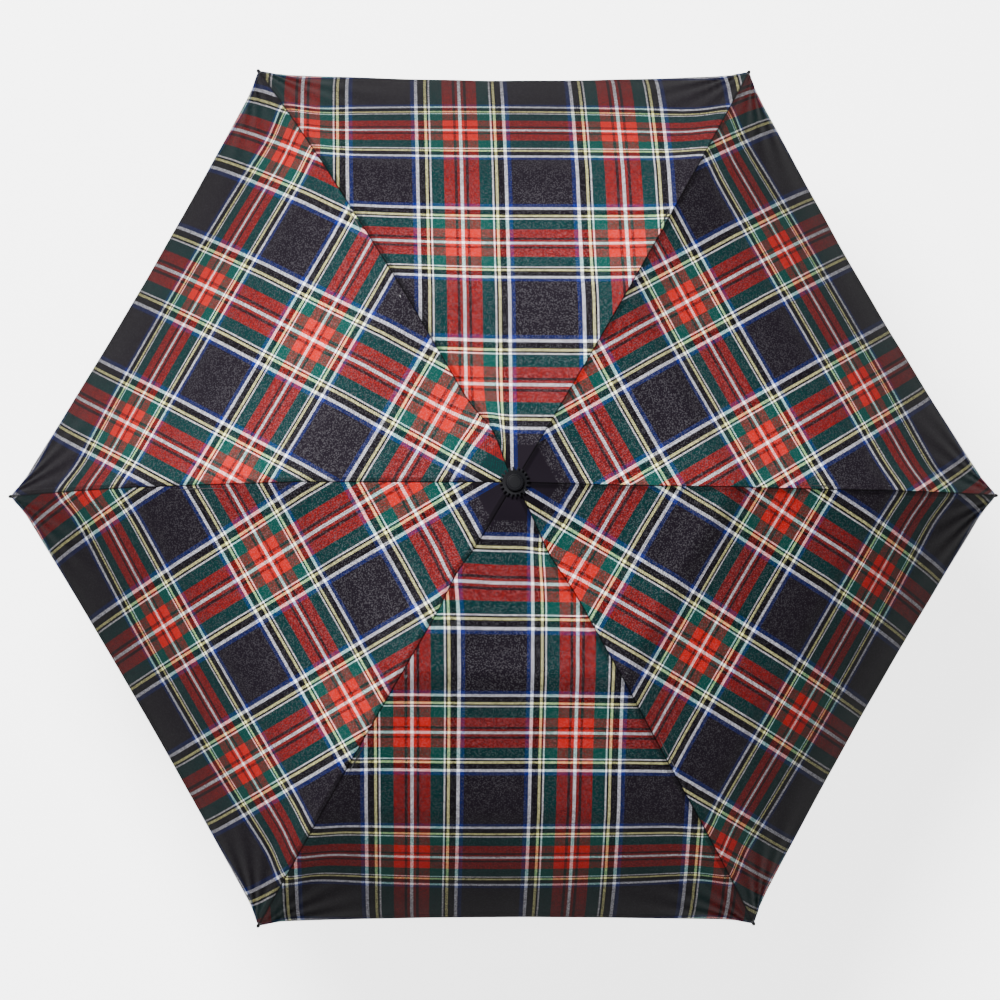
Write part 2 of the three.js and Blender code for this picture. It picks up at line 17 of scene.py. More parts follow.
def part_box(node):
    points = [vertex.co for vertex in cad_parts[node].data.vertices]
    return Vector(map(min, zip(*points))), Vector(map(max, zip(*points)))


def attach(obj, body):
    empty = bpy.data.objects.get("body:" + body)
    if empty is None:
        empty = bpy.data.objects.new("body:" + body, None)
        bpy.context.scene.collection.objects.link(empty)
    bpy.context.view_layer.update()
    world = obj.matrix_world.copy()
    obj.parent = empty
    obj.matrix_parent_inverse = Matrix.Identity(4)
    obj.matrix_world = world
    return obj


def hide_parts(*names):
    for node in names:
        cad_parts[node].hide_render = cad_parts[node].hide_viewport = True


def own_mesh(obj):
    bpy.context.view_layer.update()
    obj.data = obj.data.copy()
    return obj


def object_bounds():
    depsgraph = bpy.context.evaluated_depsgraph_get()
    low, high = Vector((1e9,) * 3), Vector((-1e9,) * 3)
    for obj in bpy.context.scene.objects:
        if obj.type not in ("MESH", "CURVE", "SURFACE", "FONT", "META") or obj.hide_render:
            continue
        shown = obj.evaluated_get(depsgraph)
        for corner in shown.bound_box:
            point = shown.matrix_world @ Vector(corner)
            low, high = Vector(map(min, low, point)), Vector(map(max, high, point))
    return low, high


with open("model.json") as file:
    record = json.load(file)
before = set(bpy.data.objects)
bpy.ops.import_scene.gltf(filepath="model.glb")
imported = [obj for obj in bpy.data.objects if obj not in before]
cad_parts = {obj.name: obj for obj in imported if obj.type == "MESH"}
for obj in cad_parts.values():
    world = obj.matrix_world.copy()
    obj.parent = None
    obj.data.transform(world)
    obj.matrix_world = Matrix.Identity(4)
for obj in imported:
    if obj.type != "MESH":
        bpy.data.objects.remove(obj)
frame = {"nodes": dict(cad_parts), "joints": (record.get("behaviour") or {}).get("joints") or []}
cad_low, cad_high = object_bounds()
MM = 0.001
RIBS = 6
print("CAD box in mm:", [round(v / MM) for v in (cad_high - cad_low)])

# %% Where the frame's joints are
joint_place = {joint["name"]: Vector(joint["pos_m"]) for joint in frame["joints"] if joint.get("pos_m")}
crown_pin = joint_place["canopy_fold"]
elbow = joint_place["middle_rib_1_hinge"]
wrist = joint_place["outer_rib_1_hinge"]
tip_low, tip_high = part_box("rib_1_tip")
print("crown pin, elbow and wrist heights in mm:", [round(p.z / MM, 1) for p in (crown_pin, elbow, wrist)])

# %% [markdown]
# ## The camera
# The umbrella is seen from almost straight above, so the shaft is hidden and the ribs read as a six-pointed
# star. A long lens from far away keeps the six gores alike, with hardly any perspective. We build the
# camera's turn from two directions, forwards and up, because an automatic track has no clear "up" when it
# looks straight down.

# %% Place the camera
forwards = Vector((0.0339, 0.0498, -0.9982)).normalized()
up = Vector((0.001, 0.9988, 0.0499))
right = forwards.cross(up).normalized()
camera_data = bpy.data.cameras.new("camera")
camera = bpy.data.objects.new("camera", camera_data)
bpy.context.collection.objects.link(camera)
camera.matrix_world = Matrix((right, right.cross(forwards), -forwards)).transposed().to_4x4()
camera.location = (-0.1425, -0.2058, crown_pin.z + 3.812)
camera_data.sensor_width = 36
camera_data.lens = 151
camera_data.clip_end = 50
bpy.context.scene.camera = camera
print("camera is", round((camera.location - crown_pin).length, 2), "m from the crown")

# %% [markdown]
# ## The floor and the light
# A wide pale floor stands in for the white sweep of a studio. It glows round the canopy and less under it, so
# the background is light and the cloth isn't lit from below. Soft area lights hang over the canopy and to two
# sides, so the slopes of the gores differ a little in tone and the cloth's small folds can be seen.

# %% Small helpers for wiring nodes
def node_material(name):
    material = bpy.data.materials.new(name)
    material.use_nodes = True
    nodes, links = material.node_tree.nodes, material.node_tree.links
    return material, nodes, links, nodes["Principled BSDF"]


def maths(nodes, links, operation, *inputs):
    node = nodes.new("ShaderNodeMath")
    node.operation = operation
    for socket, value in zip(node.inputs, inputs):
        if isinstance(value, (int, float)):
            socket.default_value = value
        else:
            links.new(value, socket)
    return node.outputs[0]


def mixed(nodes, links, factor, a, b, blend="MIX"):
    node = nodes.new("ShaderNodeMix")
    node.data_type, node.blend_type = "RGBA", blend
    for socket, value in ((node.inputs["Factor"], factor), (node.inputs["A"], a), (node.inputs["B"], b)):
        if isinstance(value, (int, float)):
            socket.default_value = value
        elif isinstance(value, tuple):
            socket.default_value = (*value, 1)
        else:
            links.new(value, socket)
    return node.outputs["Result"]


def gamma(nodes, links, colour, power):
    node = nodes.new("ShaderNodeGamma")
    links.new(colour, node.inputs["Color"])
    node.inputs["Gamma"].default_value = power
    return node.outputs["Color"]


def noise(nodes, links, vector, scale, detail=3.0, roughness=0.6):
    node = nodes.new("ShaderNodeTexNoise")
    links.new(vector, node.inputs["Vector"])
    node.inputs["Scale"].default_value = scale
    node.inputs["Detail"].default_value = detail
    node.inputs["Roughness"].default_value = roughness
    return node.outputs["Fac"]


def smooth_range(nodes, links, value, low, high, to_low=0.0, to_high=1.0):
    node = nodes.new("ShaderNodeMapRange")
    node.interpolation_type = "SMOOTHSTEP"
    links.new(value, node.inputs["Value"])
    for name, number in (("From Min", low), ("From Max", high), ("To Min", to_low), ("To Max", to_high)):
        node.inputs[name].default_value = number
    return node.outputs["Result"]


# %% Make the floor
bpy.ops.object.select_all(action="DESELECT")
bpy.ops.mesh.primitive_plane_add(size=30, location=(0, 0, cad_low.z - 0.0005))
floor = bpy.context.object
floor.name = "floor"
pale, nodes, links, shader = node_material("pale_floor")
shader.inputs["Base Color"].default_value = (0.9, 0.9, 0.9, 1)
shader.inputs["Roughness"].default_value = 0.9
shader.inputs["Emission Color"].default_value = (1, 1, 1, 1)
from_middle = nodes.new("ShaderNodeVectorMath")
from_middle.operation = "LENGTH"
links.new(nodes.new("ShaderNodeTexCoord").outputs["Object"], from_middle.inputs[0])
glow = smooth_range(nodes, links, from_middle.outputs["Value"], 0.22, 0.46, 0.5, 3.0)
far_fade = smooth_range(nodes, links, from_middle.outputs["Value"], 0.9, 2.6, 1.0, 0.45)
glow = maths(nodes, links, "MULTIPLY", glow, far_fade)
links.new(glow, shader.inputs["Emission Strength"])
floor.data.materials.append(pale)
print("floor at", round(floor.location.z / MM, 1), "mm")


# %% Hang the lights
def soft_light(name, place, target, size, watts):
    light = bpy.data.lights.new(name, "AREA")
    light.shape = "DISK"
    light.size = size
    light.energy = watts
    lamp = bpy.data.objects.new(name, light)
    bpy.context.collection.objects.link(lamp)
    lamp.location = place
    lamp.rotation_euler = (Vector(target) - Vector(place)).to_track_quat("-Z", "Y").to_euler()
    return lamp


soft_light("top_softbox", (-0.9, 1.3, 3.1), crown_pin, 1.3, 340)
soft_light("side_softbox", (-2.4, 1.6, 1.9), crown_pin, 1.2, 34)
soft_light("front_fill", (1.2, -2.6, 1.3), crown_pin, 1.5, 12)
world = bpy.data.worlds.new("studio")
bpy.context.scene.world = world
world.use_nodes = True
world.node_tree.nodes["Background"].inputs["Color"].default_value = (0.95, 0.97, 1, 1)
world.node_tree.nodes["Background"].inputs["Strength"].default_value = 0.35
print("three soft lights and a pale surround")

# %% [markdown]
# ## The line that the cloth follows over a rib
# The cloth is stretched over each rib, so one curve in the rib's own upright plane shapes the whole canopy:
# nearly level at the crown, straight along the top rib, a little lift over each joint, then a tightening
# curve to the tip. We lay straight runs between the frame's joints, add the outer rib's arc, and blur the
# corners, as tight cloth does.

# %% Work out the rib line
TOP_RIB_RUN = (elbow - crown_pin).length
MIDDLE_RIB_RUN = (wrist - elbow).length
START_ANGLE, END_ANGLE = math.radians(-37), math.radians(-53)
WIRE_LIFT = 1.8 * MM
TIP_HALF = 5.4 * MM

tip_middle = (tip_low + tip_high) / 2
wire_end = tip_middle - TIP_HALF * Vector((math.cos(END_ANGLE), 0, math.sin(END_ANGLE)))
wire_start = wrist + WIRE_LIFT * Vector((-math.sin(START_ANGLE), 0, math.cos(START_ANGLE)))
chord = (wire_end - wire_start).length
bend = START_ANGLE - END_ANGLE
OUTER_RIB_RUN = chord * (bend / 2) / math.sin(bend / 2)
RUN = TOP_RIB_RUN + MIDDLE_RIB_RUN + OUTER_RIB_RUN
OVERHANG = 14 * MM
STEP = 0.5 * MM
along = np.arange(-4 * MM, RUN + OVERHANG, STEP)


def bare_rib(distance):
    """Radius and height of the rib itself, a distance out from its pin."""
    if distance <= TOP_RIB_RUN:
        point = crown_pin + (elbow - crown_pin) * (distance / TOP_RIB_RUN)
    elif distance <= TOP_RIB_RUN + MIDDLE_RIB_RUN:
        point = elbow + (wrist - elbow) * ((distance - TOP_RIB_RUN) / MIDDLE_RIB_RUN)
    else:
        gone = distance - TOP_RIB_RUN - MIDDLE_RIB_RUN
        turned = START_ANGLE - bend * min(gone, OUTER_RIB_RUN) / OUTER_RIB_RUN
        radius = OUTER_RIB_RUN / bend
        point = wire_start + radius * Vector(
            (math.sin(START_ANGLE) - math.sin(turned), 0, math.cos(turned) - math.cos(START_ANGLE))
        )
        point += max(gone - OUTER_RIB_RUN, 0) * Vector((math.cos(END_ANGLE), 0, math.sin(END_ANGLE)))
    return point.x, point.z


print("rib length in mm:", round(RUN / MM, 1), "of which outer", round(OUTER_RIB_RUN / MM, 1))

# %% Lift the cloth off the rib and soften the corners
wrist_at = TOP_RIB_RUN + MIDDLE_RIB_RUN
lift_places = np.array(
    [-4, 3, 24, 60, 110, TOP_RIB_RUN / MM - 22, TOP_RIB_RUN / MM, TOP_RIB_RUN / MM + 26,
     wrist_at / MM - 70, wrist_at / MM - 14, wrist_at / MM - 0.01, wrist_at / MM, wrist_at / MM + 25,
     RUN / MM + 14]
) * MM
lifts = np.array([8.2, 8.1, 7.6, 3.0, 1.4, 1.8, 4.6, 2.2, 2.3, 5.4, 6.8, 5.2, 2.8, 2.7]) * MM


def blurred(values, width=6 * MM):
    reach = int(3 * width / STEP)
    kernel = np.exp(-0.5 * (np.arange(-reach, reach + 1) * STEP / width) ** 2)
    slope_in, slope_out = values[1] - values[0], values[-1] - values[-2]
    before = values[0] + slope_in * np.arange(-reach, 0)
    after = values[-1] + slope_out * np.arange(1, reach + 1)
    return np.convolve(np.concatenate([before, values, after]), kernel / kernel.sum(), "valid")


rib_points = np.array([bare_rib(float(distance)) for distance in along])
line_radius = blurred(rib_points[:, 0])
line_height = blurred(rib_points[:, 1] + np.interp(along, lift_places, lifts))
print("cloth line runs from radius", round(line_radius[0] / MM, 1), "to", round(line_radius[-1] / MM, 1), "mm")

# %% [markdown]
# ## The shape of a gore
# A gore is a long triangle of flat cloth. Sewn between two ribs and pulled tight it can't stay flat: between
# the ribs it takes the short way and hangs inside the straight line, more and more towards the hem. We
# describe any point of it by a share of the way out (0 at the crown, 1 at the hem) and how far across it is
# (0 on one rib, 1 on the next).

# %% A point on the cloth
SAG = 18 * MM
HEM_PULL = 7 * MM
HEM_DIP = 9 * MM
TIP_CORNER = 7 * MM
STEP_ANGLE = 2 * math.pi / RIBS
CROWN_RADIUS = 7 * MM


def gore_point(share, across):
    """Where a point of the gore is, with the first rib along +X. Both inputs may be arrays."""
    middle = 4 * across * (1 - across)
    distance = -4 * MM + (RUN + 4 * MM) * share * (1 + HEM_DIP / RUN * middle * share)
    share = np.maximum(share, 0)
    distance += TIP_CORNER * share**30 * np.exp(-((np.minimum(across, 1 - across) / 0.028) ** 2))
    radius = np.interp(distance, along, line_radius)
    flat_x = radius * (1 - across * (1 - math.cos(STEP_ANGLE)))
    flat_y = radius * across * math.sin(STEP_ANGLE)
    inwards = 1 - HEM_PULL * share**1.8 * middle / np.maximum(np.hypot(flat_x, flat_y), MM)
    hang = SAG * np.sin(np.minimum(share / 0.72, 1) * math.pi / 2) ** 1.5
    height = np.interp(distance, along, line_height) - hang * middle
    return flat_x * inwards, flat_y * inwards, height


hem_middle = gore_point(1.0, 0.5)
hem_radius = math.hypot(hem_middle[0], hem_middle[1])
print("hem at mid-gore: radius", round(hem_radius / MM), "mm, height", round(hem_middle[2] / MM), "mm")

# %% [markdown]
# ## The flat cut of a gore
# The pattern belongs to the flat cloth, so the cloth needs flat coordinates: how far down the middle of the
# gore, and how far to the side. We measure both along the shaped surface, so the tartan is neither stretched
# nor squeezed.

# %% Measure the gore along its own surface
shares = np.linspace(0, 1, 500)
middle_line = np.stack(gore_point(shares, np.full_like(shares, 0.5)), axis=1)
down_the_middle = np.concatenate([[0], np.cumsum(np.linalg.norm(np.diff(middle_line, axis=0), axis=1))])
down_the_middle += CROWN_RADIUS * math.cos(STEP_ANGLE / 2)
cross_steps = np.linspace(0, 1, 41)
cross_lines = np.stack(gore_point(shares[:, None], cross_steps[None, :]), axis=2)
gore_width = np.linalg.norm(np.diff(cross_lines, axis=1), axis=2).sum(axis=1)
GORE_LENGTH, HEM_WIDTH = float(down_the_middle[-1]), float(gore_width[-1])
print("a gore is cut", round(GORE_LENGTH / MM), "mm long and", round(HEM_WIDTH / MM), "mm wide at the hem")


# %% Flat coordinates, with the strain near the hem
STRAIN_FROM = 0.43
THREAD_BOW = 17 * MM
CORNER_PULL, CORNER_WIDTH = 11 * MM, 0.022


def flat_place(share, across):
    """(sideways, down) on the flat gore. Near the hem the threads bow, as the pull runs to the two tips."""
    middle = 4 * across * (1 - across)
    width = np.interp(share, shares, gore_width)
    down = np.interp(share, shares, down_the_middle)
    sideways = (across - 0.5) * width
    to_seam = width / 2 - np.abs(sideways)
    near_hem = np.minimum((down / STRAIN_FROM) ** 6, 1)
    at_corner = np.exp(-((to_seam / CORNER_WIDTH) ** 2))
    down = down + near_hem * (THREAD_BOW * (1 - middle) - CORNER_PULL * at_corner)
    return sideways, down


# %% [markdown]
# ## Small folds in tight cloth
# Tight cloth still shows where it is held. Short puckers run out from the tips and the joints, the hem is
# drawn in by its stitching, and one or two soft folds start at mid-hem. They are waves a millimetre or so
# high, which fade away from what causes them, and they are the same in both halves of a gore, so that no
# break shows.

# %% Height of the folds
PUCKERS = ((0.187, 0.6), (0.352, 1.0), (0.415, 0.55))  # how far down the gore, and how strong


def folds(gore, sideways, down, width):
    """Height of all the folds at a place on the flat gore."""
    to_seam = np.maximum(width / 2 - np.abs(sideways), 0)
    to_hem = GORE_LENGTH - down
    turn = gore * 1.7 + np.sign(sideways) * 0.6
    fan = np.arctan2(to_seam + 4 * MM, to_hem + 22 * MM)
    from_tip = np.hypot(to_seam, to_hem)
    tip_puckers = 1.5 * MM * np.sin(fan * 17 + turn) * np.exp(-((from_tip / 0.075) ** 2))
    tip_puckers *= np.clip(to_seam / 0.012, 0, 1)
    hem_folds = 1.3 * MM * np.cos(sideways / 0.0135 + gore * 2.1) * np.exp(-np.maximum(to_hem, 0) / 0.038)
    hem_folds *= 0.45 + 0.55 * np.sin(sideways / 0.052 + gore) ** 2
    hem_folds *= np.clip(to_seam / 0.05, 0, 1)
    seam_puckers = 0.0 * sideways
    for place, strength in PUCKERS:
        near = np.exp(-(((down - place) / 0.022) ** 2)) * np.exp(-to_seam / 0.02)
        near *= np.clip(to_seam / 0.006, 0, 1)
        seam_puckers += strength * 1.1 * MM * (1 + np.sin((down - place) / 0.0052 + turn)) * near
    slack = 0.7 * MM * np.sin(down / 0.047 + gore * 1.3) * np.cos(sideways / 0.061 + gore)
    slack *= np.clip(down / 0.2, 0, 1) * np.clip(to_seam / 0.04, 0, 1)
    return tip_puckers + hem_folds + seam_puckers + slack


share_grid, across_grid = np.meshgrid(np.linspace(0.05, 1, 120), np.linspace(0, 1, 81))
width_grid = np.interp(share_grid, shares, gore_width)
fold_heights = np.array([folds(gore, *flat_place(share_grid, across_grid), width_grid) for gore in range(RIBS)])
print("folds from", round(fold_heights.min() / MM, 1), "to", round(fold_heights.max() / MM, 1), "mm")

# %% [markdown]
# ## Sewing the canopy in pieces that can fold
# One sheet can't follow eighteen rib sections as they fold, so each gore is cut down its middle and across at
# the two joints. Each piece then goes with the rib piece that it is sewn to. The cuts meet exactly while the
# umbrella is open, and every vertex gets the normal of the whole surface, so the canopy reads as one sheet.

# %% A point given by its place along the rib
HALF_ANGLE_TAN = math.tan(STEP_ANGLE / 2)
FINE_SHARES = np.linspace(0, 1, 900)


def across_of(side_share):
    """How far across the gore a line from the crown lies: side_share is 0 on the rib and 1 on mid-gore."""
    ratio = side_share * HALF_ANGLE_TAN
    return ratio / (math.sin(STEP_ANGLE) + ratio * (1 - math.cos(STEP_ANGLE)))


def share_of(reach, across):
    """The share at which the cloth is this far along the rib's direction."""
    runs = gore_point(FINE_SHARES, np.full_like(FINE_SHARES, across))[0]
    return np.interp(reach, runs, FINE_SHARES)


SEAM_SLIP = 2.4 * MM
# for each rib that bulges: the place along it, the length of the bulge, and the extra slip in millimetres
SEAM_WANDER = {2: (0.050, 0.026, 6.0), 4: (0.098, 0.024, 3.0), 5: (0.070, 0.030, 3.5)}


def seam_drift(rib, x, y):
    """How far the cloth has slipped sideways over a rib: a little on every rib, and more where it bulges."""
    drift = -SEAM_SLIP * np.sin(np.clip(x / tip_low.x, 0, 1) * math.pi)
    if rib in SEAM_WANDER:
        place, width, amount = SEAM_WANDER[rib]
        drift = drift - amount * MM * np.exp(-(((x - place) / width) ** 2))
    to_middle = np.clip(1 - np.abs(y) / np.maximum(x * HALF_ANGLE_TAN, MM), 0, 1)
    return drift * np.exp(-((y / np.maximum(0.28 * x, MM)) ** 2)) * np.minimum(1, 4 * to_middle)


def cloth_points(rib, left_side, share, across):
    """Place in the rib's own frame, plus flat coordinates, for the half gore beside a rib."""
    x, y, z = gore_point(share, across)
    gore = rib if left_side else (rib - 1) % RIBS
    across_gore = across if left_side else 1 - across
    sideways, down = flat_place(share, across_gore)
    width = np.interp(share, shares, gore_width)
    z = z + folds(gore, sideways, down, width)
    y = y if left_side else -y
    return np.stack([x, y + seam_drift(rib, x, y), z], axis=-1), sideways, down, width


# %% The rows and columns of each piece
columns = np.linspace(0, 1, 39) ** 1.5
BANDS = {
    "top": dict(body="top_rib", rows=52, gathers_to=7.5 * MM),
    "middle": dict(body="middle_rib", rows=44, gathers_to=13.5 * MM),
    "outer": dict(body="outer_rib", rows=36, gathers_to=13.0 * MM),
}
first_gap = columns[1] * elbow.x * HALF_ANGLE_TAN
print(len(columns), "columns, the first", round(first_gap / MM, 1), "mm from the seam")


def band_reach(band, across):
    """Where a band starts and ends along the rib, for one column."""
    edge = float(gore_point(1.0, across)[0])
    start = {"top": float(gore_point(0.0, across)[0]), "middle": elbow.x, "outer": wrist.x}[band]
    end = {"top": elbow.x, "middle": min(wrist.x, edge), "outer": max(edge, wrist.x)}[band]
    return start, end


# %% Build one piece of cloth
CLOTH_THICKNESS = 0.3 * MM
NUDGE = 0.002  # a small step along the surface, for its normal
RED_LINE_DOWN = 94.5 * MM
RED_LINE_ASIDE = [value * MM for value in (-83.2, -107.5, -27, -53.7, -92, -44)]


def cloth_piece(rib, left_side, band):
    plan = BANDS[band]
    rows = plan["rows"]
    places, normals, tartan, edges = [], [], [], []
    for t in columns:
        across = across_of(t)
        start, end = band_reach(band, across)
        reach = np.linspace(start, end, rows + 1)
        share = share_of(reach, across)
        if band == "top":
            share[0] = 0
        here, sideways, down, width = cloth_points(rib, left_side, share, np.full_like(share, across))
        outwards = cloth_points(rib, left_side, share + NUDGE, np.full_like(share, across))[0]
        inwards = cloth_points(rib, left_side, share - NUDGE, np.full_like(share, across))[0]
        near = max(across - NUDGE, 0)
        one = cloth_points(rib, left_side, share, np.full_like(share, near))[0]
        other = cloth_points(rib, left_side, share, np.full_like(share, across + NUDGE))[0]
        normal = np.cross(outwards - inwards, other - one)
        normal *= (1 if left_side else -1) / np.maximum(np.linalg.norm(normal, axis=1, keepdims=True), 1e-15)
        places.append(here)
        normals.append(normal)
        gore = rib if left_side else (rib - 1) % RIBS
        tartan.append(np.stack([sideways - RED_LINE_ASIDE[gore], down - RED_LINE_DOWN], axis=1))
        to_seam = (width / 2 - np.abs(sideways)) * (1 if left_side else -1)
        edges.append(np.stack([to_seam, GORE_LENGTH - np.interp(share, shares, down_the_middle)], axis=1))
    places, normals = np.array(places), np.array(normals)
    tartan, edges = np.array(tartan), np.array(edges)
    return sewn_mesh(f"cloth_{band}_{'left' if left_side else 'right'}_{rib + 1}", rib, left_side,
                     places, normals, tartan, edges)


def sewn_mesh(name, rib, left_side, places, normals, tartan, edges):
    """A closed thin sheet from a grid of places: an upper face, a lower face and the cut edges."""
    column_count, row_count = places.shape[:2]
    number = np.arange(column_count * row_count).reshape(column_count, row_count)
    if np.ptp(places[-1], axis=0).max() < 1e-6:
        number[-1] = number[-1, 0]
    kept, number = np.unique(number, return_inverse=True)
    number = number.reshape(column_count, row_count)
    places, normals = places.reshape(-1, 3)[kept], normals.reshape(-1, 3)[kept]
    tartan, edges = tartan.reshape(-1, 2)[kept], edges.reshape(-1, 2)[kept]
    upper, lower = places + normals * CLOTH_THICKNESS / 2, places - normals * CLOTH_THICKNESS / 2
    count = len(kept)
    faces = []

    def face(*corners):
        corners = [int(c) for i, c in enumerate(corners) if c != corners[i - 1]]
        if len(corners) > 2:
            faces.append(corners if left_side else corners[::-1])

    for c in range(column_count - 1):
        for r in range(row_count - 1):
            ring = (number[c, r], number[c, r + 1], number[c + 1, r + 1], number[c + 1, r])
            face(*ring)
            face(*(count + i for i in reversed(ring)))
    rim = [*number[:-1, 0], *number[-1, :-1], *number[:0:-1, -1], *number[0, :0:-1]]
    for i, a in enumerate(rim):
        b = rim[(i + 1) % len(rim)]
        if a != b:
            face(a, b, count + b, count + a)
    turn = Matrix.Rotation(rib * STEP_ANGLE, 3, "Z")
    spin = np.array(turn)
    mesh = bpy.data.meshes.new(name)
    mesh.from_pydata((np.concatenate([upper, lower]) @ spin.T).tolist(), [], faces)
    corner_vertices = np.zeros(len(mesh.loops), dtype=np.int64)
    mesh.loops.foreach_get("vertex_index", corner_vertices)
    for layer_name, values in (("tartan", tartan), ("edge", edges)):
        layer = mesh.uv_layers.new(name=layer_name)
        flat = np.concatenate([values] * 2)
        layer.data.foreach_set("uv", flat[corner_vertices].astype(np.float32).ravel())
    whole = normals @ spin.T
    mesh.polygons.foreach_set("use_smooth", [True] * len(mesh.polygons))
    mesh.normals_split_custom_set_from_vertices(np.concatenate([whole, -whole]).tolist())
    piece = bpy.data.objects.new(name, mesh)
    bpy.context.collection.objects.link(piece)
    return piece


cloth = {}
for rib in range(RIBS):
    for left_side in (True, False):
        for band in BANDS:
            cloth[rib, left_side, band] = cloth_piece(rib, left_side, band)
print(len(cloth), "pieces of cloth,", sum(len(p.data.polygons) for p in cloth.values()), "faces")

# %% [markdown]
# ## The tartan
# The cloth is woven from one list of coloured threads, used both ways. The list runs from the middle of a red
# band to the middle of a dark square and back again, so a ping-pong of the flat coordinate and one colour
# ramp give the warp, and the same ramp on the other coordinate gives the weft. Where they cross, each shows
# about half: we mix them with a fine diagonal, as a twill does, after a gamma so that a dark thread dims a
# bright one as it does in real cloth.

# %% The list of threads
SETT = 152.5 * MM
THREADS = [  # share of the way from the red middle to the dark middle, and the thread's colour
    (0.0, (1.0, 0.97, 0.98)), (0.016, (0.39, 0.018, 0.014)), (0.052, (0.050, 0.012, 0.012)),
    (0.086, (0.39, 0.018, 0.014)), (0.222, (0.001, 0.062, 0.052)), (0.381, (1.0, 1.0, 1.0)),
    (0.402, (0.006, 0.005, 0.007)), (0.424, (0.97, 0.95, 0.42)), (0.457, (0.006, 0.005, 0.007)),
    (0.538, (0.94, 0.95, 1.0)), (0.576, (0.010, 0.022, 0.15)), (0.628, (0.0165, 0.0125, 0.0185)),
]
print(len(THREADS), "bands of thread in half a sett")


# %% Weave the cloth
cloth_finish, nodes, links, shader = node_material("canopy_cloth")
flat_uv = nodes.new("ShaderNodeUVMap")
flat_uv.uv_map = "tartan"
edge_uv = nodes.new("ShaderNodeUVMap")
edge_uv.uv_map = "edge"
flat_axes = nodes.new("ShaderNodeSeparateXYZ")
links.new(flat_uv.outputs["UV"], flat_axes.inputs[0])
edge_axes = nodes.new("ShaderNodeSeparateXYZ")
links.new(edge_uv.outputs["UV"], edge_axes.inputs[0])
sideways, down = flat_axes.outputs["X"], flat_axes.outputs["Y"]


def thread_colour(coordinate):
    setts = maths(nodes, links, "DIVIDE", coordinate, SETT)
    folded = maths(nodes, links, "PINGPONG", setts, 0.5)
    place = maths(nodes, links, "MULTIPLY", folded, 2.0)
    ramp = nodes.new("ShaderNodeValToRGB")
    ramp.color_ramp.interpolation = "CONSTANT"
    stops = ramp.color_ramp.elements
    for share, colour in THREADS[1:]:
        stops.new(share).color = (*colour, 1)
    stops[0].color = (*THREADS[0][1], 1)
    stops.remove(stops[len(stops) - 1])
    links.new(place, ramp.inputs["Fac"])
    return gamma(nodes, links, ramp.outputs["Color"], DIMMING[0])


TWILL = 2 * math.pi / (1.9 * MM)
THREAD_CELL = 0.9 * MM
DIMMING = 0.4, 3.1  # gamma before and after the threads are mixed
diagonal = maths(nodes, links, "ADD", sideways, down)
twill_wave = maths(nodes, links, "SINE", maths(nodes, links, "MULTIPLY", diagonal, TWILL))
thread_cell = nodes.new("ShaderNodeVectorMath")
thread_cell.operation = "SNAP"
links.new(flat_uv.outputs["UV"], thread_cell.inputs[0])
thread_cell.inputs[1].default_value = (THREAD_CELL, THREAD_CELL, 1)
scatter = nodes.new("ShaderNodeTexWhiteNoise")
links.new(thread_cell.outputs["Vector"], scatter.inputs["Vector"])
speckle = scatter.outputs["Value"]
lean = maths(nodes, links, "MULTIPLY_ADD", twill_wave, 0.2, 0.5)
lean = maths(nodes, links, "ADD", lean, maths(nodes, links, "MULTIPLY_ADD", speckle, 0.34, -0.17))
woven = mixed(nodes, links, lean, thread_colour(sideways), thread_colour(down))
woven = gamma(nodes, links, woven, DIMMING[1])
print("tartan woven,", len(nodes), "nodes so far")

# %% [markdown]
# ## Seams, hem, crown patch and painted shade
# Sewn edges show as fine dark lines with a soft painted shadow beside them, where the seam's spare cloth is
# folded to one side. The hem is turned up once and stitched 6 mm in, with painted shade along its folded edge.
# Round the crown a second layer lies beneath, so the cloth there is darker and closes up, with painted shade
# that stands in for the missing sheen of the level cloth. Outside it a grey speckle is partly the weave and
# partly painted sheen, and towards the hem painted shade darkens the steep cloth. Seams and hem read the second
# flat map, which says how far it is to the seam and to the hem.

# %% Darken the seams, stitch the hem, paint shade and sheen, and set the finish
HEM_STITCH = 6 * MM
PAINTED_RIM_SHADE, PAINTED_RIM_REACH = 0.36, 0.22
to_seam, to_hem = edge_axes.outputs["X"], edge_axes.outputs["Y"]
seam_gap = maths(nodes, links, "ABSOLUTE", to_seam)
seam_line = smooth_range(nodes, links, seam_gap, 0.2 * MM, 1.0 * MM, 0.15, 1.0)
on_fold_side = smooth_range(nodes, links, to_seam, -0.1 * MM, 0.1 * MM, 1.0, 0.0)
# Painted shadow: a darker band up to 6 mm wide beside each seam, on the side where the spare cloth is folded.
fold_shadow_band = smooth_range(nodes, links, seam_gap, 3.6 * MM, 6.0 * MM, 0.55, 1.0)
fold_shadow_drop = maths(nodes, links, "SUBTRACT", fold_shadow_band, 1.0)
painted_fold_shadow = maths(nodes, links, "MULTIPLY_ADD", fold_shadow_drop, on_fold_side, 1.0)
from_stitch = maths(nodes, links, "ABSOLUTE", maths(nodes, links, "SUBTRACT", to_hem, HEM_STITCH))
hem_line = smooth_range(nodes, links, from_stitch, 0.2 * MM, 0.8 * MM, 0.55, 1.0)
# Painted shade: the last 1.4 mm of cloth at the hem's folded edge is darkened.
hem_fold_shade = smooth_range(nodes, links, to_hem, 0.2 * MM, 1.4 * MM, 0.4, 1.0)
from_crown = maths(nodes, links, "ADD", down, RED_LINE_DOWN)
patch = smooth_range(nodes, links, from_crown, 34.5 * MM, 36.5 * MM, 0.0, 1.0)
